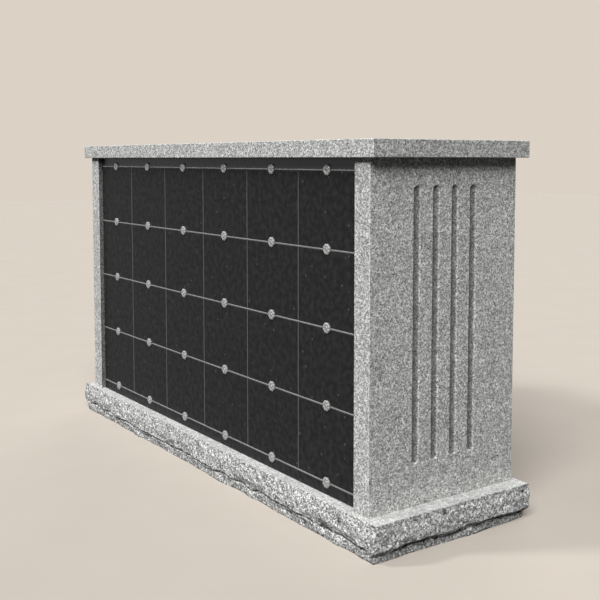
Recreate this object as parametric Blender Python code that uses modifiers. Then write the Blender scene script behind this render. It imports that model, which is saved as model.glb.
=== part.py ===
"""Free-standing granite columbarium wall with niches on both long sides.

A rock-pitched base carries two fluted end slabs and a hollow niche core, and a
plain cap lies on top. Each long side is closed by black polished fronts in
rows and columns. Metal bars stand in the joints between the fronts, and
rosettes on the horizontal joints hold the fronts in place.

Metres, +Z up. X runs along the wall, -Y is the front, and the origin is the
middle of the base's underside.
"""
import math

import bmesh
import bpy
from mathutils import Matrix, Vector, noise

# Niche field
columns = 6
rows = 4
column_pitch = 0.4064
row_pitch = 0.3175
joint_width = 0.005
panel_thickness = 0.030
panel_arris = 0.0015
panel_recess = 0.024
panel_end_joint = 0.003
head_strip_height = 0.048
foot_strip_height = 0.052

# Niche core
core_web = 0.038
core_middle_wall = 0.038

# Joint bars and rosettes
bar_recess = 0.001
rosette_radius = 0.023
rosette_height = 0.009
rosette_crown_radius = 0.014
rosette_sides = 8
stem_margin = 0.0002
stem_length = 0.008

# End slabs
slab_thickness = 0.094
slab_depth = 0.780
slab_arris = 0.003
flute_count = 4
flute_width = 0.038
flute_depth = 0.012
flute_pitch = 0.100
flute_shift = -0.006
flute_top_margin = 0.104
flute_foot_margin = 0.165
flute_sides = 16
flute_end_rings = 3

# Cap
cap_height = 0.070
cap_front_overhang = 0.026
cap_end_overhang = 0.050
cap_arris = 0.003

# Base
base_height = 0.154
base_front_projection = 0.036
base_end_projection = 0.080
rock_cell = 0.046
rock_courses = 6
pitch_inset = 0.011
pitch_height = 0.040
crevice_depth = 0.014
crevice_spread = 0.008
crevice_wander = 0.016
ends_crevice_height = 0.026
long_sides_crevice_height = 0.038
ends_foot_inset = 0.022
long_sides_foot_inset = 0.013
crevice_length = 0.30
lump_depth = 0.013
lump_length = 0.13
chip_depth = 0.009
chip_length = 0.060

# Starting points of the noise in the broken stone
ends_seed = 1.0
long_sides_seed = 20.0
pitch_seed = 3.0
chip_seed = 5.0
crevice_seed = 9.0

# Clearance that pieces laid against each other keep
touch_gap = 0.0003

# Places worked out from the sizes above
field_width = columns * column_pitch
field_height = rows * row_pitch
slab_height = foot_strip_height + field_height + head_strip_height
slab_foot = base_height + touch_gap
slab_top = slab_foot + slab_height
cap_foot = slab_top + touch_gap
first_joint = slab_foot + foot_strip_height
slab_middle_x = (field_width + slab_thickness) / 2
panel_face_y = slab_depth / 2 - panel_recess
panel_back_y = panel_face_y - panel_thickness
core_half_depth = panel_back_y - touch_gap
bar_width = joint_width - 2 * touch_gap
bar_face_y = panel_face_y - bar_recess
stem_radius = bar_width / 2 - stem_margin
base_length = field_width + 2 * (slab_thickness + base_end_projection)
base_depth = slab_depth + 2 * base_front_projection
cap_length = field_width + 2 * (slab_thickness + cap_end_overhang)
cap_depth = slab_depth + 2 * cap_front_overhang


def clear_scene():
    """Removes every object, so that the wall stands alone."""
    for item in list(bpy.data.objects):
        bpy.data.objects.remove(item, do_unlink=True)


def new_collection(name):
    """A collection of that name under the scene."""
    collection = bpy.data.collections.new(name)
    bpy.context.scene.collection.children.link(collection)
    return collection


def stone_or_metal(name, colour, roughness, metallic=0.0):
    """A Principled material with the finish of one kind of piece."""
    material = bpy.data.materials.new(name)
    material.use_nodes = True
    shader = material.node_tree.nodes["Principled BSDF"]
    shader.inputs["Base Color"].default_value = (*colour, 1.0)
    shader.inputs["Roughness"].default_value = roughness
    shader.inputs["Metallic"].default_value = metallic
    material.diffuse_color = (*colour, 1.0)
    return material


def add_box(bm, low, high):
    """Adds a box that spans the corners low and high."""
    size = Vector(high) - Vector(low)
    middle = (Vector(high) + Vector(low)) / 2
    place = Matrix.Translation(middle) @ Matrix.Diagonal((*size, 1.0))
    return bmesh.ops.create_cube(bm, size=1.0, matrix=place)


def object_from(bm, name, collection, material=None, parent=None):
    """Turns the mesh under construction into a named object."""
    mesh = bpy.data.meshes.new(name)
    bm.to_mesh(mesh)
    bm.free()
    piece = bpy.data.objects.new(name, mesh)
    collection.objects.link(piece)
    if material:
        mesh.materials.append(material)
    if parent:
        piece.parent = parent
    return piece


def boolean(piece, operation, tool):
    """Cuts the tool from the piece, or joins it on, as a live modifier."""
    step = piece.modifiers.new(operation.lower(), "BOOLEAN")
    step.operation = operation
    step.solver = "EXACT"
    step.object = tool


def as_guide(tool):
    """Shows a cutting or joining tool as a wire guide and hands it back."""
    tool.hide_render = True
    tool.display_type = "WIRE"
    return tool


def soften_edges(piece, width):
    """Takes the sharp arris off every straight edge of a sawn slab."""
    bevel = piece.modifiers.new("arris", "BEVEL")
    bevel.width = width
    bevel.segments = 1
    bevel.limit_method = "ANGLE"
    bevel.angle_limit = math.radians(60)


def joint_z(line):
    """Height of a horizontal joint: line 0 is above the foot strip."""
    return first_joint + line * row_pitch


def joint_x(line):
    """Place of a vertical joint: line 0 is the left end slab's inner face."""
    return (line - columns / 2) * column_pitch


def panel_x_span(column):
    """Left and right edges of the fronts in a column, counted from 0."""
    left = joint_x(column) + (joint_width / 2 if column > 0 else panel_end_joint)
    last = column == columns - 1
    right = joint_x(column + 1) - (panel_end_joint if last else joint_width / 2)
    return left, right


def panel_z_span(row):
    """Lower and upper edges of the fronts in a row, counted from the top."""
    upper = joint_z(rows - row) - joint_width / 2
    lower = joint_z(rows - row - 1) + joint_width / 2
    return lower, upper


def relief_noise(place, length, seed):
    """Smooth noise from -1 to 1 whose lumps are about one length across."""
    return noise.noise(place / length + Vector((seed, seed, -seed)))


def rock_recess(place, seed, crevice_height, foot_inset):
    """How far the pitched face lies behind its foremost plane at a place."""
    along = Vector((place.x, place.y, 0))
    wander = crevice_wander * relief_noise(along, crevice_length, seed)
    strength = 1 + relief_noise(along, crevice_length / 2, seed + crevice_seed)
    above_crevice = (place.z - crevice_height - wander) / crevice_spread
    undercut = foot_inset * strength / (1 + math.exp(above_crevice))
    undercut += crevice_depth * strength * math.exp(-above_crevice ** 2)
    near_top = max(0.0, 1 - (base_height - place.z) / pitch_height)
    pitched = pitch_inset * near_top * (1 + relief_noise(along, lump_length / 2, seed + pitch_seed))
    lumps = lump_depth * abs(relief_noise(place, lump_length, seed))
    chips = chip_depth * abs(relief_noise(place, chip_length, seed + chip_seed))
    return undercut + pitched + lumps + chips


def make_base(collection, material):
    """The base: smooth top and underside, and four rock-pitched sides."""
    bm = bmesh.new()
    add_box(bm, (-base_length / 2, -base_depth / 2, 0), (base_length / 2, base_depth / 2, base_height))
    for axis, length, start, cuts in (
        (0, base_length, -base_length / 2, round(base_length / rock_cell)),
        (1, base_depth, -base_depth / 2, round(base_depth / rock_cell)),
        (2, base_height, 0.0, rock_courses),
    ):
        normal = Vector([float(i == axis) for i in range(3)])
        for cut in range(1, cuts):
            everything = bm.verts[:] + bm.edges[:] + bm.faces[:]
            level = start + length * cut / cuts
            bmesh.ops.bisect_plane(bm, geom=everything, plane_co=normal * level, plane_no=normal)
    for upright in (-1.0, 1.0):
        flat = [face for face in bm.faces if face.normal.z * upright > 0.5]
        bmesh.ops.dissolve_faces(bm, faces=flat, use_verts=True)
    moves = {vert: Vector() for vert in bm.verts}
    for axis, half, seed, crevice_height, foot_inset in (
        (0, base_length / 2, ends_seed, ends_crevice_height, ends_foot_inset),
        (1, base_depth / 2, long_sides_seed, long_sides_crevice_height, long_sides_foot_inset),
    ):
        for way in (-1.0, 1.0):
            side = [vert for vert in bm.verts if vert.co[axis] * way > half - touch_gap]
            depths = [rock_recess(vert.co, seed + way, crevice_height, foot_inset) for vert in side]
            foremost = min(depths)
            for vert, depth in zip(side, depths):
                moves[vert][axis] -= way * (depth - foremost)
    for vert, move in moves.items():
        vert.co += move
    return object_from(bm, "base_slab", collection, material)


def make_end_slab(name, way, collection, tools, material):
    """An end slab: a sawn slab whose outer face has stopped flutes."""
    bm = bmesh.new()
    half = Vector((slab_thickness, slab_depth, slab_height)) / 2
    add_box(bm, -half, half)
    slab = object_from(bm, name, collection, material)
    slab.location = (way * slab_middle_x, 0, slab_foot + slab_height / 2)
    soften_edges(slab, slab_arris)
    flutes = make_flute_tool(name + "_flutes", way, tools)
    flutes.parent = slab
    boolean(slab, "DIFFERENCE", flutes)
    return slab


def make_flute_tool(name, way, tools):
    """Round-nosed rods, side by side, that leave the flutes' hollows."""
    radius = (flute_width ** 2 / 4 + flute_depth ** 2) / (2 * flute_depth)
    axis_x = way * (slab_thickness / 2 + radius - flute_depth)
    nose = [math.pi / 2 * ring / flute_end_rings for ring in range(flute_end_rings + 1)]
    top = slab_height / 2 - flute_top_margin - radius
    foot = -slab_height / 2 + flute_foot_margin + radius
    profile = [(radius * math.sin(turn), top + radius * math.cos(turn)) for turn in nose]
    profile += [(radius * math.sin(turn), foot - radius * math.cos(turn)) for turn in reversed(nose)]
    bm = bmesh.new()
    for index in range(flute_count):
        axis_y = flute_shift + (index - (flute_count - 1) / 2) * flute_pitch
        turn_profile(bm, [Vector((axis_x + out, axis_y, height)) for out, height in profile],
                     Vector((axis_x, axis_y, 0)), (0, 0, 1), flute_sides)
    return as_guide(close_up(bm, name, tools))


def turn_profile(bm, points, centre, axis, sides):
    """Turns an open profile once round an axis into a closed skin."""
    verts = [bm.verts.new(point) for point in points]
    lines = [bm.edges.new(pair) for pair in zip(verts, verts[1:])]
    bmesh.ops.spin(bm, geom=verts + lines, cent=centre, axis=axis, angle=math.tau, steps=sides)


def close_up(bm, name, collection, parent=None):
    """Welds the turned skins, points them outwards and names the result."""
    bmesh.ops.remove_doubles(bm, verts=bm.verts[:], dist=touch_gap / 10)
    bmesh.ops.recalc_face_normals(bm, faces=bm.faces[:])
    return object_from(bm, name, collection, parent=parent)


def make_cap(collection, material):
    """The cap: a plain sawn slab that overhangs the wall all round."""
    bm = bmesh.new()
    half = Vector((cap_length, cap_depth, cap_height)) / 2
    add_box(bm, -half, half)
    cap = object_from(bm, "cap_slab", collection, material)
    cap.location = (0, 0, cap_foot + cap_height / 2)
    soften_edges(cap, cap_arris)
    return cap


def make_core(collection, tools, material):
    """The niche core: one block with an open niche behind each front."""
    half_length = field_width / 2 - touch_gap
    bm = bmesh.new()
    add_box(bm, (-half_length, -core_half_depth, slab_foot), (half_length, core_half_depth, slab_top))
    core = object_from(bm, "niche_core", collection, material)
    bm = bmesh.new()
    for column in range(columns):
        for row in range(rows):
            low_x = joint_x(column) + core_web / 2
            high_x = joint_x(column + 1) - core_web / 2
            low_z = joint_z(row) + core_web / 2
            high_z = joint_z(row + 1) - core_web / 2
            for way in (-1, 1):
                inner = way * core_middle_wall / 2
                outer = way * (core_half_depth + core_web)
                add_box(bm, (low_x, min(inner, outer), low_z), (high_x, max(inner, outer), high_z))
    boolean(core, "DIFFERENCE", as_guide(object_from(bm, "niches", tools)))
    return core


def make_panel(name, low, high, collection, material, parent):
    """A black slab whose outer face, towards -Y, has a fine arris."""
    middle = (Vector(low) + Vector(high)) / 2
    bm = bmesh.new()
    add_box(bm, Vector(low) - middle, Vector(high) - middle)
    front = low[1] - middle.y
    rim = [edge for edge in bm.edges if all(abs(vert.co.y - front) < touch_gap for vert in edge.verts)]
    bmesh.ops.bevel(bm, geom=rim, offset=panel_arris, segments=1, affect="EDGES")
    panel = object_from(bm, name, collection, material, parent)
    panel.location = middle
    return panel


def add_rosette(bm, place):
    """Adds a domed round head on its stem, turned about the Y axis."""
    profile = (
        (0.0, -stem_length),
        (stem_radius, -stem_length),
        (stem_radius, touch_gap),
        (rosette_radius, touch_gap),
        (rosette_crown_radius, rosette_height),
        (0.0, rosette_height),
    )
    points = [place + Vector((radius, -forward, 0)) for radius, forward in profile]
    turn_profile(bm, points, place, (0, 1, 0), rosette_sides)


def make_grid(name, collection, tools, material, parent):
    """The bars in the joints, with the rosettes screwed into them."""
    back_y = -core_half_depth - touch_gap
    low = (-field_width / 2 + panel_end_joint, -bar_face_y, joint_z(0) - bar_width / 2)
    high = (field_width / 2 - panel_end_joint, back_y, joint_z(rows) + bar_width / 2)
    bm = bmesh.new()
    add_box(bm, low, high)
    grid = object_from(bm, name, collection, material, parent)
    bm = bmesh.new()
    for column in range(columns):
        left, right = panel_x_span(column)
        left -= touch_gap if column > 0 else core_web
        right += touch_gap if column < columns - 1 else core_web
        for row in range(rows):
            lower, upper = panel_z_span(row)
            corner = (left, -panel_face_y - panel_recess, lower - touch_gap)
            far_corner = (right, 0, upper + touch_gap)
            add_box(bm, corner, far_corner)
    boolean(grid, "DIFFERENCE", as_guide(object_from(bm, name + "_windows", tools, parent=parent)))
    bm = bmesh.new()
    for column in range(columns):
        middle_x = (joint_x(column) + joint_x(column + 1)) / 2
        for line in range(rows + 1):
            add_rosette(bm, Vector((middle_x, -panel_face_y, joint_z(line))))
    boolean(grid, "UNION", as_guide(close_up(bm, name + "_rosettes", tools, parent)))
    return grid


def make_side(name, turn, collection, tools, stone, metal):
    """One long side: fronts, head and foot strips, and the joint grid."""
    side = bpy.data.objects.new(name + "_side", None)
    side.rotation_euler = (0, 0, turn)
    collection.objects.link(side)
    for row in range(rows):
        lower, upper = panel_z_span(row)
        for column in range(columns):
            left, right = panel_x_span(column)
            make_panel(
                f"{name}_panel_r{row + 1}c{column + 1}", (left, -panel_face_y, lower),
                (right, -panel_back_y, upper), collection, stone, side)
    left = -field_width / 2 + panel_end_joint
    make_panel(
        f"{name}_foot_strip", (left, -panel_face_y, slab_foot),
        (-left, -panel_back_y, joint_z(0) - joint_width / 2), collection, stone, side)
    make_panel(
        f"{name}_head_strip", (left, -panel_face_y, joint_z(rows) + joint_width / 2),
        (-left, -panel_back_y, slab_top), collection, stone, side)
    make_grid(f"{name}_mounting_grid", collection, tools, metal, side)


clear_scene()
wall = new_collection("columbarium_wall")
tools = new_collection("cutters")
grey_granite = stone_or_metal("grey_granite", (0.56, 0.56, 0.545), 0.62)
black_granite = stone_or_metal("black_granite", (0.028, 0.028, 0.030), 0.16)
cast_concrete = stone_or_metal("cast_concrete", (0.42, 0.41, 0.39), 0.85)
satin_metal = stone_or_metal("satin_metal", (0.60, 0.60, 0.58), 0.38, 1.0)
make_base(wall, grey_granite)
make_end_slab("end_slab_left", -1, wall, tools, grey_granite)
make_end_slab("end_slab_right", 1, wall, tools, grey_granite)
make_cap(wall, grey_granite)
make_core(wall, tools, cast_concrete)
make_side("front", 0.0, wall, tools, black_granite, satin_metal)
make_side("rear", math.pi, wall, tools, black_granite, satin_metal)
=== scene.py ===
"""The looks of a free-standing granite columbarium wall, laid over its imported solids.

The camera comes first. The file then follows the wall from the ground up: base, niche
core, end slabs, fronts, joint bars, rosettes and cap, and last the floor and the lights.
"""

import math

import bmesh
import bpy
import numpy as np
from mathutils import Matrix, Vector, noise


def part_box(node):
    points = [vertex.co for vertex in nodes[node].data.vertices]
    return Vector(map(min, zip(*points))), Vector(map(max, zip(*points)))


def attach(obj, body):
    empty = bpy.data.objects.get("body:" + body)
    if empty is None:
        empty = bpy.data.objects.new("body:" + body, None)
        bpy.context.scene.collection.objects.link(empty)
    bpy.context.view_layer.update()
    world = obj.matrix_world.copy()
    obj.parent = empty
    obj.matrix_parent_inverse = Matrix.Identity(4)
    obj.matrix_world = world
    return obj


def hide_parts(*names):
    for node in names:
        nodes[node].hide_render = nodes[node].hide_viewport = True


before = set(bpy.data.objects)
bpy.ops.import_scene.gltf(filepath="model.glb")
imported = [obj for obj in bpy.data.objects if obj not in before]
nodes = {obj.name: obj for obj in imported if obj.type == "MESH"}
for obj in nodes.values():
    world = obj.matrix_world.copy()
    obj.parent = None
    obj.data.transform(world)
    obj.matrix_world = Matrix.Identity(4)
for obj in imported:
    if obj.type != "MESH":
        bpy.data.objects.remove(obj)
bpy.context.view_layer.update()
scene = bpy.context.scene
bpy.ops.object.select_all(action="DESELECT")


# Camera
# The photograph is taken from the front right corner, with the eye level with the cap.
# Its uprights are almost parallel, so the lens is shifted down and hardly tilted.
image_side = 600
focal_pixels = 953.6
lens_axis_row = 228
sensor_width = 36.0
eye_place = (4.069, -2.621, 1.520)
eye_tilt = 4.153
eye_turn = 55.209
camera_data = bpy.data.cameras.new("eye")
camera_data.sensor_width = sensor_width
camera_data.lens = focal_pixels / image_side * sensor_width
camera_data.shift_y = -(image_side / 2 - lens_axis_row) / image_side
camera = bpy.data.objects.new("eye", camera_data)
camera.location = eye_place
camera.rotation_euler = (math.radians(90 - eye_tilt), 0, math.radians(eye_turn))
scene.collection.objects.link(camera)
scene.camera = camera
scene.view_settings.view_transform = "Standard"


# Base
# One block of light grey granite. Its top is steeled flat and its four sides are rock
# pitched: split off with a chisel, so they are broken below a crisp arris, with an
# undercut at the foot of the ends and a fine seam along the long sides.
# Its stone is painted darker as shade in the hollows and the seam, along the foot and just under
# the upper arris.
merge_distance = 0.0001
square_on = 0.95
level_normal = 0.999
ledge_band = 0.010
ledge_width = 0.070
ledge_relief_share = 0.35
rock_cuts = 6
groove_height = 0.026
groove_reach = 0.022
groove_wander = 0.034
groove_length = 0.16
rock_relief = (  # name, pattern, size, depth
    ("broken faces", "VORONOI", 0.050, 0.006),
    ("chisel bites", "CLOUDS", 0.026, 0.007),
    ("split grain", "CLOUDS", 0.010, 0.004),
)
relief_middle = 0.4
seam_height = 0.042
seam_wander = 0.016
seam_length = 0.11
seam_spread = 0.0045
seam_depth = 0.009
seam_fullness = 0.75
seam_break_rate = 3
seam_break_row = 5
arris_rise = 0.040
arris_reach = 0.050
arris_setback = 0.004
arris_fullness = (1.0, 0.45)  # on the ends, on the long sides
arris_raggedness = 0.008
arris_bite = 0.045
broken_angle = 32
hollow_rounds = 12
full_hollow = 0.0042
# Painted shade along the foot of the rock faces.
foot_shade_height = 0.045
foot_shade_tone = 0.72
# Painted shade in a band just under the upper arris.
under_arris_shade_top = 0.142
under_arris_shade_fade = 0.022
under_arris_shade_tone = 0.91
# Painted shade in the hollows and the seam.
hollow_shade_span = (0.2, 0.9)
hollow_shade_tone = 0.10

crystal_waver = 0.006
fine_crystal_rate = 2.3
cluster_rate = 0.45
coarse_share = 0.65
fine_share = 0.35
grey_to_pale = (0.25, 0.75)
cluster_span = (0.1, 0.9)
cluster_tones = (0.86, 1.12)
cloud_scale = 5.0
cloud_span = (0.3, 0.7)
cloud_tones = (0.97, 1.02)
blank_colour = (0.5, 0.5, 0.5, 1)
broken_stone = {
    "Pale": (0.98, 0.98, 0.96, 1),
    "Grey": (0.27, 0.27, 0.265, 1),
    "Dark": (0.045, 0.045, 0.045, 1),
    "Grain": 145.0,
    "Dark Share": 0.19,
}
steeled_stone = {
    "Pale": (0.68, 0.68, 0.665, 1),
    "Grey": (0.43, 0.43, 0.42, 1),
    "Dark": (0.11, 0.11, 0.11, 1),
    "Grain": 165.0,
    "Dark Share": 0.08,
}


def lay_node(tree, kind, **settings):
    """Adds a shader node and sets its own settings."""
    node = tree.nodes.new(kind)
    for name, value in settings.items():
        setattr(node, name, value)
    return node


def feed(tree, socket, source):
    """Gives a socket a plain value, or links another node's output to it."""
    if isinstance(source, bpy.types.NodeSocket):
        tree.links.new(source, socket)
    else:
        socket.default_value = source


def reckon(tree, operation, first, second=0.0, third=0.0):
    """One step of arithmetic in a node tree."""
    node = lay_node(tree, "ShaderNodeMath", operation=operation)
    for socket, source in zip(node.inputs, (first, second, third)):
        feed(tree, socket, source)
    return node.outputs[0]


def spread(tree, value, low, high, to_low=0.0, to_high=1.0):
    """Stretches a band of values to another band, held at its ends."""
    node = lay_node(tree, "ShaderNodeMapRange", interpolation_type="SMOOTHSTEP")
    for socket, source in zip(node.inputs, (value, low, high, to_low, to_high)):
        feed(tree, socket, source)
    return node.outputs["Result"]


def blend_colours(tree, share, first, second, mode="MIX"):
    """Mixes two colours by a share."""
    node = lay_node(tree, "ShaderNodeMix", data_type="RGBA", blend_type=mode)
    feed(tree, node.inputs["Factor"], share)
    feed(tree, node.inputs["A"], first)
    feed(tree, node.inputs["B"], second)
    return node.outputs["Result"]


def tone_down(tree, colour, tone):
    """Multiplies a colour by a grey tone."""
    grey = lay_node(tree, "ShaderNodeCombineColor")
    for socket in grey.inputs:
        feed(tree, socket, tone)
    return blend_colours(tree, 1.0, colour, grey.outputs[0], mode="MULTIPLY")


def place_on_piece(tree):
    """The place of each point in the piece's own metres."""
    return lay_node(tree, "ShaderNodeTexCoord").outputs["Object"]


def uneven(tree, place, scale, detail=2.0):
    """A soft uneven pattern, as a value and as a colour."""
    pattern = lay_node(tree, "ShaderNodeTexNoise", noise_dimensions="3D")
    feed(tree, pattern.inputs["Vector"], place)
    feed(tree, pattern.inputs["Scale"], scale)
    feed(tree, pattern.inputs["Detail"], detail)
    return pattern.outputs


def cells(tree, place, scale):
    """Cells that fill a stone, each with a random colour, and the way to its middle."""
    pattern = lay_node(tree, "ShaderNodeTexVoronoi", feature="F1")
    feed(tree, pattern.inputs["Vector"], place)
    feed(tree, pattern.inputs["Scale"], scale)
    return pattern.outputs


def draw_lots(tree, colour):
    """The three random numbers that a cell's colour is made of."""
    lots = lay_node(tree, "ShaderNodeSeparateColor")
    feed(tree, lots.inputs[0], colour)
    return lots.outputs


def effect_group(name, inputs, outputs):
    """A new node group with named sockets, what it is given and what it puts out."""
    group = bpy.data.node_groups.new(name, "ShaderNodeTree")
    for label, value in inputs.items():
        kind = "NodeSocketFloat" if isinstance(value, float) else "NodeSocketColor"
        socket = group.interface.new_socket(label, in_out="INPUT", socket_type=kind)
        socket.default_value = value
    for label in outputs:
        kind = "NodeSocketColor" if label == "Color" else "NodeSocketFloat"
        group.interface.new_socket(label, in_out="OUTPUT", socket_type=kind)
    given = lay_node(group, "NodeGroupInput").outputs
    results = lay_node(group, "NodeGroupOutput").inputs
    return group, given, results


def place_effect(tree, group, values):
    """Places a node group in a material with that material's own values."""
    effect = lay_node(tree, "ShaderNodeGroup", node_tree=group)
    for name, value in values.items():
        feed(tree, effect.inputs[name], value)
    return effect.outputs


def crystals_group():
    """Interlocking crystals of a coarse granite: pale felspar, grey quartz and dark mica."""
    group, given, results = effect_group("crystals", {
        "Pale": blank_colour, "Grey": blank_colour, "Dark": blank_colour,
        "Grain": 150.0, "Dark Share": 0.15,
    }, ("Color", "Height"))
    place = place_on_piece(group)
    waver = lay_node(group, "ShaderNodeVectorMath", operation="SCALE")
    feed(group, waver.inputs[0], uneven(group, place, given["Grain"])["Color"])
    feed(group, waver.inputs["Scale"], crystal_waver)
    bent = lay_node(group, "ShaderNodeVectorMath", operation="ADD")
    feed(group, bent.inputs[0], place)
    feed(group, bent.inputs[1], waver.outputs[0])
    lots = []
    for rate in (1.0, fine_crystal_rate, cluster_rate):
        grain = reckon(group, "MULTIPLY", given["Grain"], rate)
        lots.append(draw_lots(group, cells(group, bent.outputs[0], grain)["Color"]))
    coarse, fine, cluster = lots
    mixed = reckon(group, "MULTIPLY_ADD", fine[0], fine_share,
                   reckon(group, "MULTIPLY", coarse[0], coarse_share))
    body = blend_colours(group, spread(group, mixed, *grey_to_pale), given["Grey"], given["Pale"])
    mica = reckon(group, "LESS_THAN", fine[1], given["Dark Share"])
    speckled = blend_colours(group, mica, body, given["Dark"])
    cluster_tone = spread(group, cluster[0], *cluster_span, *cluster_tones)
    clouds = uneven(group, place, cloud_scale)["Fac"]
    cloud_tone = spread(group, clouds, *cloud_span, *cloud_tones)
    tone = reckon(group, "MULTIPLY", cloud_tone, cluster_tone)
    feed(group, results["Color"], tone_down(group, speckled, tone))
    feed(group, results["Height"], mixed)
    return group


def painted_shade_group():
    """Paints shade: darkens a stone to a tone as a mark goes from its unshaded to its fully shaded
    value.
    """
    group, given, results = effect_group("painted_shade", {
        "Color": blank_colour, "Mark": 0.0, "Unshaded": 0.0, "Full Shade": 1.0, "Tone": 0.5,
    }, ("Color",))
    tone = spread(group, given["Mark"], given["Unshaded"], given["Full Shade"], 1.0, given["Tone"])
    feed(group, results["Color"], tone_down(group, given["Color"], tone))
    return group


def finish_material(name, roughness, metallic=0.0, shine=0.5):
    """A new material with a Principled shader, and its tree and shader."""
    material = bpy.data.materials.new(name)
    material.use_nodes = True
    tree = material.node_tree
    shader = tree.nodes["Principled BSDF"]
    shader.inputs["Roughness"].default_value = roughness
    shader.inputs["Metallic"].default_value = metallic
    shader.inputs["Specular IOR Level"].default_value = shine
    return material, tree, shader


def raise_bumps(tree, shader, height, depth):
    """Small relief on a surface, as deep as depth."""
    bump = lay_node(tree, "ShaderNodeBump")
    feed(tree, bump.inputs["Height"], height)
    feed(tree, bump.inputs["Distance"], depth)
    feed(tree, bump.inputs["Strength"], 1.0)
    feed(tree, shader.inputs["Normal"], bump.outputs["Normal"])


crystals = crystals_group()
painted_shade = painted_shade_group()

rock_material, tree, shader = finish_material("rock_pitched_granite", roughness=0.85, shine=0.2)
stone = place_effect(tree, crystals, broken_stone)
height = lay_node(tree, "ShaderNodeSeparateXYZ")
feed(tree, height.inputs[0], place_on_piece(tree))
hollow = lay_node(tree, "ShaderNodeAttribute", attribute_name="hollow")
colour = stone["Color"]
for mark, no_shade, shaded, tone in (
    # painted shade in the hollows and the seam
    (hollow.outputs["Fac"], *hollow_shade_span, hollow_shade_tone),
    # painted shade along the foot
    (height.outputs["Z"], foot_shade_height, 0.0, foot_shade_tone),
    # painted shade in a band just under the upper arris
    (height.outputs["Z"], under_arris_shade_top - under_arris_shade_fade, under_arris_shade_top, under_arris_shade_tone),
):
    colour = place_effect(tree, painted_shade, {
        "Color": colour, "Mark": mark, "Unshaded": no_shade, "Full Shade": shaded, "Tone": tone})["Color"]
feed(tree, shader.inputs["Base Color"], colour)
raise_bumps(tree, shader, stone["Height"], depth=0.004)

ledge_material, tree, shader = finish_material("steeled_granite", roughness=0.75)
stone = place_effect(tree, crystals, steeled_stone)
feed(tree, shader.inputs["Base Color"], stone["Color"])
raise_bumps(tree, shader, stone["Height"], depth=0.0006)


def take_up(piece):
    """Makes a piece the only one that operators act on."""
    bpy.ops.object.select_all(action="DESELECT")
    piece.select_set(True)
    bpy.context.view_layer.objects.active = piece


def select_faces(piece, wanted):
    """Selects just the faces that a test picks, in edit mode."""
    bpy.ops.mesh.select_all(action="DESELECT")
    mesh = bmesh.from_edit_mesh(piece.data)
    for face in mesh.faces:
        face.select = bool(wanted(face))
    mesh.select_flush_mode()
    bmesh.update_edit_mesh(piece.data)


def finish_faces(piece, material, wanted):
    """Gives the faces that a test picks a material of their own."""
    take_up(piece)
    piece.data.materials.append(material)
    piece.active_material_index = len(piece.data.materials) - 1
    bpy.ops.object.mode_set(mode="EDIT")
    bpy.ops.mesh.select_mode(type="FACE")
    select_faces(piece, wanted)
    bpy.ops.object.material_slot_assign()
    bpy.ops.object.mode_set(mode="OBJECT")


def is_side(face):
    """True for an upright or sloping face."""
    return abs(face.normal.z) < square_on


def is_ledge(face):
    """True for a face of the flat top."""
    return (face.normal.z > square_on
            and face.calc_center_median().z > base_high.z - merge_distance)


base = bpy.data.objects.new("rock_pitched_base", nodes["base_slab"].data.copy())
scene.collection.objects.link(base)
base.data.materials.clear()
base.data.materials.append(rock_material)
base_low, base_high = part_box("base_slab")
take_up(base)
bpy.ops.object.mode_set(mode="EDIT")
bpy.ops.mesh.select_mode(type="FACE")
bpy.ops.mesh.select_all(action="SELECT")
bpy.ops.mesh.remove_doubles(threshold=merge_distance)
select_faces(base, is_ledge)
bpy.ops.mesh.dissolve_faces()
select_faces(base, is_ledge)
bpy.ops.mesh.inset(thickness=ledge_band)
select_faces(base, is_side)
bpy.ops.mesh.subdivide(number_cuts=rock_cuts)
bpy.ops.object.mode_set(mode="OBJECT")
finish_faces(base, ledge_material, is_ledge)

# The relief works on the four sides, and an undercut wanders along the foot of the ends.
rock = base.vertex_groups.new(name="rock")
groove = base.vertex_groups.new(name="groove")
foot_ring = []
ledge_ring = set()
for vert in base.data.vertices:
    if vert.co.z < merge_distance:
        foot_ring.append(vert.index)
    elif abs(vert.co.x) > base_high.x - ledge_width:
        off_groove = (vert.co.z - groove_height) / groove_reach
        groove.add([vert.index], math.exp(-off_groove ** 2), "REPLACE")
    if vert.co.z < base_high.z - merge_distance:
        rock.add([vert.index], 1.0, "REPLACE")
    elif vert.normal.z < level_normal:
        rock.add([vert.index], ledge_relief_share, "REPLACE")
    else:
        ledge_ring.add(vert.index)
waves = bpy.data.textures.new("groove waves", "CLOUDS")
waves.noise_scale = groove_length
waves.noise_depth = 0
shift = base.modifiers.new("groove waves", "DISPLACE")
shift.texture = waves
shift.texture_coords = "LOCAL"
shift.direction = "Z"
shift.vertex_group = "groove"
shift.strength = groove_wander
bpy.ops.object.modifier_apply(modifier=shift.name)
for label, kind, size, depth in rock_relief:
    pattern = bpy.data.textures.new(label, kind)
    pattern.noise_scale = size
    relief = base.modifiers.new(label, "DISPLACE")
    relief.texture = pattern
    relief.texture_coords = "LOCAL"
    relief.vertex_group = "rock"
    relief.mid_level = relief_middle
    relief.strength = depth
    bpy.ops.object.modifier_apply(modifier=relief.name)
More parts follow.
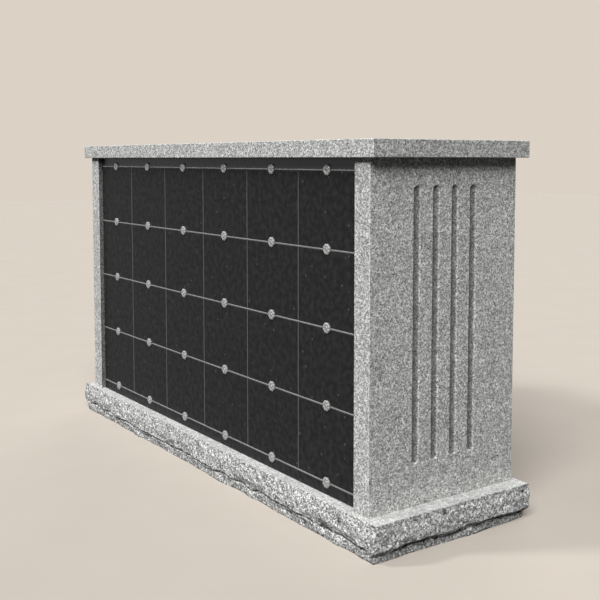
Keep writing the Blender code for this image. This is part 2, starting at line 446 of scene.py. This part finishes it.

# A fine seam wanders along each long side, to be painted dark as shade, and the upper
# arris is brought out to a crisp line, ragged where the chisel bit. All stays in the solids'
# box, with a flat foot.
seam = [0.0] * len(base.data.vertices)
for vert in base.data.vertices:
    if abs(vert.co.x) < base_high.x - ledge_width and vert.co.z < base_high.z / 2:
        side = math.copysign(1, vert.co.y)
        along = vert.co.x / seam_length
        line = seam_height + seam_wander * noise.noise((along, side, 0))
        breaks = noise.noise((along * seam_break_rate, side, seam_break_row))
        fullness = max(0.0, seam_fullness + breaks)
        off_line = (vert.co.z - line) / seam_spread
        seam[vert.index] = min(1.0, fullness * math.exp(-off_line ** 2))
        vert.co.y -= side * seam_depth * seam[vert.index]
for vert in base.data.vertices:
    rise = max(0.0, 1 - (base_high.z - vert.co.z) / arris_rise)
    if rise > 0 and vert.index not in ledge_ring:
        ragged = arris_raggedness * abs(noise.noise(vert.co / arris_bite))
        for axis, fullness in enumerate(arris_fullness):
            reach = abs(vert.co[axis])
            if reach > base_high[axis] - arris_reach:
                missing = max(0.0, base_high[axis] - arris_setback - ragged - reach)
                out = fullness * rise ** 2 * (3 - 2 * rise) * missing
                vert.co[axis] += math.copysign(out, vert.co[axis])
for vert in base.data.vertices:
    for axis in range(3):
        vert.co[axis] = min(max(vert.co[axis], base_low[axis]), base_high[axis])
for index in foot_ring:
    base.data.vertices[index].co.z = 0.0


def round_edges(piece, angle):
    """Shades the edges softer than an angle round, and keeps broad faces flat."""
    bpy.ops.object.shade_smooth_by_angle(angle=math.radians(angle))
    broad = piece.modifiers.new("broad faces", "WEIGHTED_NORMAL")
    broad.keep_sharp = True
    bpy.ops.object.modifier_apply(modifier=broad.name)


def mark_hollows(piece, rounds, full_depth):
    """Stores how far each point lies below the surface around it, from 0 to 1."""
    mesh = piece.data
    count = len(mesh.vertices)
    place = np.empty(count * 3, np.float32)
    mesh.vertices.foreach_get("co", place)
    place = place.reshape(-1, 3)
    facing = np.empty(count * 3, np.float32)
    mesh.vertices.foreach_get("normal", facing)
    facing = facing.reshape(-1, 3)
    pairs = np.empty(len(mesh.edges) * 2, np.int32)
    mesh.edges.foreach_get("vertices", pairs)
    first, second = pairs.reshape(-1, 2).T
    links = np.maximum(np.bincount(pairs, minlength=count), 1)
    around = place.copy()
    for _ in range(rounds):
        total = np.zeros_like(around)
        np.add.at(total, first, around[second])
        np.add.at(total, second, around[first])
        around = total / links[:, None]
    depth = ((around - place) * facing).sum(axis=1) / full_depth
    marks = mesh.attributes.new("hollow", "FLOAT", "POINT")
    marks.data.foreach_set("value", np.clip(depth, 0, 1).astype(np.float32))


round_edges(base, broken_angle)
# The hollows and the seam are marked for painted shade.
mark_hollows(base, hollow_rounds, full_hollow)
for mark, depth in zip(base.data.attributes["hollow"].data, seam):
    mark.value = max(mark.value, depth)
base.select_set(False)
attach(base, "root")
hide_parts("base_slab")


# Niche core
# A cast concrete block of open niches, back to back, which carries the fronts.
# It is closed in on all sides, so only its colour and pores are given.
patch_span = (0.3, 0.7)
concrete_patches = {
    "First": (0.36, 0.35, 0.33, 1),
    "Second": (0.50, 0.49, 0.46, 1),
    "Scale": 60.0,
    "Detail": 6.0,
}


def patches_group():
    """Fine patches of two near colours, as on cast concrete and dull metal."""
    group, given, results = effect_group("patches", {
        "First": blank_colour, "Second": blank_colour, "Scale": 60.0, "Detail": 4.0,
    }, ("Color", "Height"))
    patches = uneven(group, place_on_piece(group), given["Scale"], given["Detail"])["Fac"]
    share = spread(group, patches, *patch_span)
    feed(group, results["Color"], blend_colours(group, share, given["First"], given["Second"]))
    feed(group, results["Height"], patches)
    return group


patches = patches_group()
concrete, tree, shader = finish_material("cast_concrete", roughness=0.9)
pores = place_effect(tree, patches, concrete_patches)
feed(tree, shader.inputs["Base Color"], pores["Color"])
raise_bumps(tree, shader, pores["Height"], depth=0.001)
nodes["niche_core"].data.materials.clear()
nodes["niche_core"].data.materials.append(concrete)


# End slabs
# Two upright slabs of the same granite, sawn and rubbed, about 94 mm thick. Each has
# four round-bottomed flutes on its outer face, stopped short of top and foot, with painted
# shade deep in them, and the stone of its inner face is painted dark as shade where it
# shows beside the fronts.
slab_arris = 0.003
arris_steps = 3
rubbed_angle = 35
flute_width = 0.038
flute_depth = 0.012
flute_pitch = 0.100
flute_count = 4
flute_shift = -0.006
flute_top_margin = 0.104
flute_foot_margin = 0.165
flute_facets = 48
flute_rings = 17
flute_radius = (flute_width ** 2 / 4 + flute_depth ** 2) / (2 * flute_depth)
deepest_mark = 1.1
# Painted shade deep in the flutes.
flute_shade_span = (0.2, 0.75)
flute_shade_tone = 0.38
rubbed_stone = {
    "Pale": (0.76, 0.76, 0.74, 1),
    "Grey": (0.27, 0.27, 0.265, 1),
    "Dark": (0.045, 0.045, 0.045, 1),
    "Grain": 188.0,
    "Dark Share": 0.14,
}
# Painted shade: darker stone for the inner face where it shows beside the fronts.
shaded_reveal_stone = {
    "Pale": (0.24, 0.24, 0.235, 1),
    "Grey": (0.085, 0.085, 0.083, 1),
    "Dark": (0.02, 0.02, 0.02, 1),
    "Grain": 188.0,
    "Dark Share": 0.14,
}
rubbed_arris_highlight = {"Highlight": (0.88, 0.88, 0.87, 1), "Face": 0.97, "Arris": 0.85, "Most": 0.35}


def arris_highlight_group():
    """Turns a colour paler on the arrises, which face along none of the sawn sides, as a painted
    highlight.
    """
    group, given, results = effect_group("highlit arris", {
        "Color": blank_colour, "Highlight": blank_colour, "Face": 0.97, "Arris": 0.85, "Most": 1.0,
    }, ("Color",))
    facing = lay_node(group, "ShaderNodeSeparateXYZ")
    feed(group, facing.inputs[0], lay_node(group, "ShaderNodeNewGeometry").outputs["Normal"])
    lengths = [reckon(group, "ABSOLUTE", side) for side in facing.outputs]
    wider = reckon(group, "MAXIMUM", lengths[0], lengths[1])
    widest = reckon(group, "MAXIMUM", wider, lengths[2])
    share = spread(group, widest, given["Face"], given["Arris"], 0.0, given["Most"])
    feed(group, results["Color"], blend_colours(group, share, given["Color"], given["Highlight"]))
    return group


def rubbed_granite(name, stone_values):
    """Rubbed granite whose arrises are a little paler than its faces, as a painted highlight."""
    material, tree, shader = finish_material(name, roughness=0.72, shine=0.2)
    stone = place_effect(tree, crystals, stone_values)
    highlit = place_effect(tree, arris_highlight, dict(rubbed_arris_highlight, Color=stone["Color"]))
    feed(tree, shader.inputs["Base Color"], highlit["Color"])
    raise_bumps(tree, shader, stone["Height"], depth=0.0005)
    return material


arris_highlight = arris_highlight_group()
slab_material = rubbed_granite("rubbed_granite", rubbed_stone)
shaded_reveal_material = rubbed_granite("reveal_painted_shade_granite", shaded_reveal_stone)

# The flutes' stone is painted darker the deeper it lies, as shade.
shaded_flute_material, tree, shader = finish_material("tooled_granite_painted_shade", roughness=0.85)
stone = place_effect(tree, crystals, rubbed_stone)
depth = lay_node(tree, "ShaderNodeAttribute", attribute_name="flute_depth")
shaded = place_effect(tree, painted_shade, {
    "Color": stone["Color"], "Mark": depth.outputs["Fac"],
    "Unshaded": flute_shade_span[0], "Full Shade": flute_shade_span[1], "Tone": flute_shade_tone})
feed(tree, shader.inputs["Base Color"], shaded["Color"])
raise_bumps(tree, shader, stone["Height"], depth=0.0012)


def sawn_block(name, low, high, arris, material):
    """A cube drawn out to a sawn block, with its arrises rubbed round."""
    bpy.ops.object.select_all(action="DESELECT")
    bpy.ops.mesh.primitive_cube_add(size=1.0, location=(low + high) / 2)
    block = bpy.context.active_object
    block.name = name
    block.scale = high - low
    bpy.ops.object.transform_apply(location=True, rotation=True, scale=True)
    block.data.materials.append(material)
    bevel = block.modifiers.new("arris", "BEVEL")
    bevel.width = arris
    bevel.segments = arris_steps
    bpy.ops.object.modifier_apply(modifier=bevel.name)
    return block


def flute_rod(axis_x, axis_y, foot, top):
    """A round-nosed rod as long as a flute, drawn out from a sphere."""
    bpy.ops.object.select_all(action="DESELECT")
    bpy.ops.mesh.primitive_uv_sphere_add(
        segments=flute_facets, ring_count=flute_rings, radius=flute_radius,
        location=(axis_x, axis_y, 0))
    rod = bpy.context.active_object
    bpy.ops.object.transform_apply(location=True)
    for vert in rod.data.vertices:
        vert.co.z += top - flute_radius if vert.co.z > 0 else foot + flute_radius
    rod.data.materials.append(shaded_flute_material)
    return rod


def is_inner(face):
    """True for a slab's face that looks along the wall, towards its middle."""
    return face.normal.x * way < -square_on


for slab_name, way in (("end_slab_left", -1), ("end_slab_right", 1)):
    low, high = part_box(slab_name)
    piece_name = slab_name.replace("end_slab", "fluted_slab")
    slab = sawn_block(piece_name, low, high, slab_arris, slab_material)
    face_x = high.x if way > 0 else low.x
    axis_x = face_x + way * (flute_radius - flute_depth)
    foot = low.z + flute_foot_margin
    top = high.z - flute_top_margin
    for index in range(flute_count):
        axis_y = flute_shift + (index - (flute_count - 1) / 2) * flute_pitch
        rod = flute_rod(axis_x, axis_y, foot, top)
        bpy.context.view_layer.objects.active = slab
        cut = slab.modifiers.new("flute", "BOOLEAN")
        cut.operation = "DIFFERENCE"
        cut.solver = "EXACT"
        cut.material_mode = "TRANSFER"
        cut.object = rod
        bpy.ops.object.modifier_apply(modifier=cut.name)
        bpy.data.objects.remove(rod)
    depths = slab.data.attributes.new("flute_depth", "FLOAT", "POINT")
    for vert in slab.data.vertices:
        within = foot - merge_distance < vert.co.z < top + merge_distance
        sunk = (face_x - vert.co.x) * way / flute_depth
        depths.data[vert.index].value = sunk if within and sunk < deepest_mark else 0.0
    # The inner face beside the fronts gets the stone painted dark as shade.
    finish_faces(slab, shaded_reveal_material, is_inner)
    round_edges(slab, rubbed_angle)
    slab.select_set(False)
    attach(slab, "root")
    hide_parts(slab_name)


# Niche fronts, head strips and foot strips
# Polished black granite, 30 mm thick, with a fine arris, held against the core by the
# rosettes. It is nearly even in tone, with faint clouds and a few pale flecks of felspar,
# and the head strips have a brighter polish.
polish_roughness = (0.26, 0.36)
polish_span = (0.3, 0.8)
front_shine = 0.06
front_body = (0.017, 0.017, 0.018, 1)
front_cloud = (0.031, 0.031, 0.032, 1)
strip_shine = 0.9
strip_body = (0.015, 0.015, 0.016, 1)
strip_cloud = (0.026, 0.026, 0.027, 1)
fleck_colour = (0.13, 0.13, 0.13, 1)
black_cloud_scale = 38.0
black_cloud_detail = 5.0
black_cloud_span = (0.35, 0.75)
fleck_scale = 45.0
fleck_rarity = 0.94
fleck_edge = (0.30, 0.12)
black_arris_highlight = {"Highlight": (0.16, 0.16, 0.16, 1), "Face": 0.97, "Arris": 0.80, "Most": 1.0}


def black_stone_group():
    """Black stone with faint clouds and a few pale flecks."""
    group, given, results = effect_group("black stone", {
        "Body": blank_colour, "Cloud": blank_colour, "Fleck": blank_colour,
    }, ("Color", "Clouds"))
    place = place_on_piece(group)
    clouds = uneven(group, place, black_cloud_scale, black_cloud_detail)["Fac"]
    share = spread(group, clouds, *black_cloud_span)
    body = blend_colours(group, share, given["Body"], given["Cloud"])
    crystal = cells(group, place, fleck_scale)
    lots = draw_lots(group, crystal["Color"])
    rare = reckon(group, "GREATER_THAN", lots[0], fleck_rarity)
    spot = reckon(group, "MULTIPLY", rare, spread(group, crystal["Distance"], *fleck_edge))
    fleck = reckon(group, "MULTIPLY", spot, lots[1])
    feed(group, results["Color"], blend_colours(group, fleck, body, given["Fleck"]))
    feed(group, results["Clouds"], clouds)
    return group


def black_granite(name, shine, body, cloud):
    """Polished black granite, a little rougher in its clouds, with a paler arris as a painted
    highlight.
    """
    material, tree, shader = finish_material(name, roughness=polish_roughness[0], shine=shine)
    stone = place_effect(tree, black_stone, {"Body": body, "Cloud": cloud, "Fleck": fleck_colour})
    highlit = place_effect(tree, arris_highlight, dict(black_arris_highlight, Color=stone["Color"]))
    feed(tree, shader.inputs["Base Color"], highlit["Color"])
    feed(tree, shader.inputs["Roughness"],
         spread(tree, stone["Clouds"], *polish_span, *polish_roughness))
    return material


black_stone = black_stone_group()
front_black = black_granite("polished_black_granite", front_shine, front_body, front_cloud)
strip_black = black_granite("bright_black_granite", strip_shine, strip_body, strip_cloud)

fronts = {}
for name, node in nodes.items():
    if "_panel_" in name or name.endswith("_strip"):
        node.data.materials.clear()
        node.data.materials.append(strip_black if name.endswith("head_strip") else front_black)
        fronts[name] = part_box(name)


# Joint bars
# Bars of dull pale metal, fixed to the core, fill the joints between the fronts and show
# as fine light lines. The level ones lie a millimetre behind the faces of the fronts, and
# the upright ones five.
level_bar_recess = 0.001
upright_bar_recess = 0.005
bar_arris = 0.0004
bar_clearance = 0.0014
bar_patches = {
    "First": (0.48, 0.48, 0.47, 1),
    "Second": (0.64, 0.64, 0.625, 1),
    "Scale": 90.0,
    "Detail": 4.0,
}
joint_metal, tree, shader = finish_material("dull_joint_metal", roughness=0.55, metallic=0.35)
streaks = place_effect(tree, patches, bar_patches)
feed(tree, shader.inputs["Base Color"], streaks["Color"])
raise_bumps(tree, shader, streaks["Height"], depth=0.0003)


def gaps_between(spans):
    """The gaps between neighbouring spans, each as its low and high end."""
    ordered = sorted(set((round(low, 5), round(high, 5)) for low, high in spans))
    return [(lower[1], upper[0]) for lower, upper in zip(ordered, ordered[1:])]


side_joints = {}
for side, outward in (("front", -1), ("rear", 1)):
    boxes = [box for name, box in fronts.items() if name.startswith(side)]
    panels = [box for name, box in fronts.items() if name.startswith(side + "_panel")]
    upright_gaps = gaps_between([(low.x, high.x) for low, high in panels])
    level_gaps = gaps_between([(low.z, high.z) for low, high in boxes])
    left = min(low.x for low, high in boxes)
    right = max(high.x for low, high in boxes)
    face_y = panels[0][0].y if outward < 0 else panels[0][1].y
    grid_low, grid_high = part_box(side + "_mounting_grid")
    inner_y = grid_high.y if outward < 0 else grid_low.y
    side_joints[side] = (outward, face_y, upright_gaps, level_gaps, left, right)
    spans = [(left, right, low + bar_clearance, high - bar_clearance, level_bar_recess)
             for low, high in level_gaps]
    for lower, upper in zip(level_gaps, level_gaps[1:]):
        foot, top = lower[1], upper[0]
        spans += [(low + bar_clearance, high - bar_clearance, foot, top, upright_bar_recess)
                  for low, high in upright_gaps]
    bars = []
    for low_x, high_x, low_z, high_z, recess in spans:
        outer_y = face_y - outward * recess
        corner = Vector((low_x, min(inner_y, outer_y), low_z))
        far_corner = Vector((high_x, max(inner_y, outer_y), high_z))
        bars.append(sawn_block("bar", corner, far_corner, bar_arris, joint_metal))
    for bar in bars:
        bar.select_set(True)
    bpy.ops.object.join()
    grid = bpy.context.active_object
    grid.name = side + "_joint_bars"
    grid.select_set(False)
    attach(grid, "root")
    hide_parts(side + "_mounting_grid")


# Rosettes
# Cast metal heads, 45 mm across, one at the middle of each front's upper and lower edge.
# Eight petals fall from a raised ring to a scalloped rim, with their valleys a little darker.
# The screw that holds each head sits in a hole in its middle, which is painted dark as shade.
rosette_radius = 0.0225
petals = 8
petal_steps = 6
rim_points = petals * petal_steps
rim_height = 0.0050
rosette_rings = (  # share of the radius, height
    (0.99, 0.0050),
    (0.90, 0.0072),
    (0.74, 0.0084),
    (0.52, 0.0082),
    (0.42, 0.0062),
    (0.36, 0.0062),
    (0.32, 0.0086),
    (0.28, 0.0090),
    (0.22, 0.0090),
    (0.14, 0.0060),
)
petal_start = 0.40
petal_fade = 0.25
petal_scallop = 0.07
petal_fall = 0.22
petal_angle = 50
screw_hole = 0.145
valley_darkening = 0.55
rosette_patches = {
    "First": (0.32, 0.32, 0.31, 1),
    "Second": (0.46, 0.46, 0.445, 1),
    "Scale": 220.0,
    "Detail": 4.0,
}
sunk_colour = (0.07, 0.07, 0.07, 1)
rosette_metal, tree, shader = finish_material("cast_rosette_metal", roughness=0.50, metallic=0.30)
cast = place_effect(tree, patches, rosette_patches)
sunk = lay_node(tree, "ShaderNodeAttribute", attribute_name="sunk")
feed(tree, shader.inputs["Base Color"],
     blend_colours(tree, sunk.outputs["Fac"], cast["Color"], sunk_colour))
raise_bumps(tree, shader, cast["Height"], depth=0.0003)


def is_crown(face):
    """True for the uppermost middle face of a rosette."""
    return face.normal.z > square_on and len(face.verts) == rim_points


bpy.ops.object.select_all(action="DESELECT")
bpy.ops.mesh.primitive_cylinder_add(
    vertices=rim_points, radius=rosette_radius, depth=rim_height, end_fill_type="NGON",
    location=(0, 0, rim_height / 2))
rosette = bpy.context.active_object
bpy.ops.object.transform_apply(location=True)
bpy.ops.object.mode_set(mode="EDIT")
bpy.ops.mesh.select_mode(type="FACE")
last_radius, last_height = rosette_radius, rim_height
for share, height in rosette_rings:
    radius = share * rosette_radius
    select_faces(rosette, is_crown)
    bpy.ops.mesh.inset(thickness=last_radius - radius)
    bpy.ops.transform.translate(value=(0, 0, height - last_height))
    last_radius, last_height = radius, height
bpy.ops.object.mode_set(mode="OBJECT")
# The hole in the middle is painted dark as shade, and the petal valleys are made a little darker.
marks = rosette.data.attributes.new("sunk", "FLOAT", "POINT")
for vert in rosette.data.vertices:
    reach = math.hypot(vert.co.x, vert.co.y) / rosette_radius
    turn = math.atan2(vert.co.y, vert.co.x)
    valley = 1 - abs(math.sin(turn * petals / 2))
    on_petal = max(0.0, min(1.0, (reach - petal_start) / petal_fade))
    in_hole = reach < screw_hole
    marks.data[vert.index].value = 1.0 if in_hole else valley_darkening * valley ** 3 * on_petal
    vert.co.x *= 1 - petal_scallop * valley ** 2 * on_petal
    vert.co.y *= 1 - petal_scallop * valley ** 2 * on_petal
    vert.co.z *= 1 - petal_fall * valley ** 2 * on_petal
bpy.ops.object.shade_smooth_by_angle(angle=math.radians(petal_angle))
rosette.data.materials.append(rosette_metal)
for side, (outward, face_y, upright_gaps, level_gaps, left, right) in side_joints.items():
    edges = [left] + [sum(gap) / 2 for gap in upright_gaps] + [right]
    heads = []
    for low_x, high_x in zip(edges, edges[1:]):
        for low_z, high_z in level_gaps:
            head = rosette.copy()
            head.data = rosette.data.copy()
            stand = Matrix.Rotation(math.radians(90) * -outward, 4, "X")
            spot = Vector(((low_x + high_x) / 2, face_y, (low_z + high_z) / 2))
            head.data.transform(Matrix.Translation(spot) @ stand)
            scene.collection.objects.link(head)
            heads.append(head)
    bpy.ops.object.select_all(action="DESELECT")
    for head in heads:
        head.select_set(True)
    bpy.context.view_layer.objects.active = heads[0]
    bpy.ops.object.join()
    heads[0].name = side + "_rosettes"
    heads[0].select_set(False)
    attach(heads[0], "root")
bpy.data.objects.remove(rosette)


# Cap
# One plain sawn slab of the same granite, 70 mm thick, laid on the slabs and the core
# and standing out all round. The stone of its two end faces is a little darker.
cap_arris = 0.003
darker_end_stone = {
    "Pale": (0.66, 0.66, 0.645, 1),
    "Grey": (0.225, 0.225, 0.22, 1),
    "Dark": (0.04, 0.04, 0.04, 1),
    "Grain": 188.0,
    "Dark Share": 0.15,
}


def is_end(face):
    """True for a face at either end of the cap."""
    return abs(face.normal.x) > square_on


cap_low, cap_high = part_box("cap_slab")
cap = sawn_block("granite_cap", cap_low, cap_high, cap_arris, slab_material)
finish_faces(cap, rubbed_granite("darker_end_granite", darker_end_stone), is_end)
round_edges(cap, rubbed_angle)
cap.select_set(False)
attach(cap, "root")
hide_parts("cap_slab")


# Floor and light
# A pale matt floor, hidden from bounced and mirrored light. A key light at the front left
# throws the cap's short shadow, a broad soft one stands high at the front right, and a
# low one behind fills the rear. The surround is dim, and paler where it is mirrored.
floor_side = 60.0
floor_dust_scale = 3.0
floor_colours = ((0.50, 0.45, 0.397, 1), (0.53, 0.48, 0.425, 1))
lights = (  # name, place it shines from, strength, breadth in degrees
    ("front_left_key", (-2.3, -4.0, 3.3), 1.45, 8),
    ("front_right_softbox", (6.5, -6.4, 9.6), 4.14, 42),
    ("rear_left_fill", (-5.0, 6.0, 1.2), 1.8, 50),
)
dim_surround = (0.065, 0.065, 0.065, 1)
mirrored_surround = (0.30, 0.30, 0.30, 1)
backdrop_colour = (0.71, 0.64, 0.56, 1)

floor_material, tree, shader = finish_material("pale_floor", roughness=0.9, shine=0.0)
dust = uneven(tree, place_on_piece(tree), floor_dust_scale)["Fac"]
feed(tree, shader.inputs["Base Color"], blend_colours(tree, dust, *floor_colours))
bpy.ops.object.select_all(action="DESELECT")
bpy.ops.mesh.primitive_plane_add(size=floor_side, location=(0, 0, 0))
floor = bpy.context.active_object
floor.name = "floor"
floor.data.materials.append(floor_material)
floor.visible_diffuse = False
floor.visible_glossy = False
floor.select_set(False)

for name, place, energy, breadth in lights:
    lamp = bpy.data.lights.new(name, "SUN")
    lamp.energy = energy
    lamp.angle = math.radians(breadth)
    light = bpy.data.objects.new(name, lamp)
    light.location = place
    light.rotation_euler = (-Vector(place)).to_track_quat("-Z", "Y").to_euler()
    scene.collection.objects.link(light)

world = bpy.data.worlds.new("studio")
scene.world = world
world.use_nodes = True
tree = world.node_tree
background = tree.nodes["Background"]
rays = lay_node(tree, "ShaderNodeLightPath").outputs
surround = blend_colours(tree, rays["Is Glossy Ray"], dim_surround, mirrored_surround)
feed(tree, background.inputs["Color"],
     blend_colours(tree, rays["Is Camera Ray"], surround, backdrop_colour))
feed(tree, background.inputs["Strength"], 1.0)
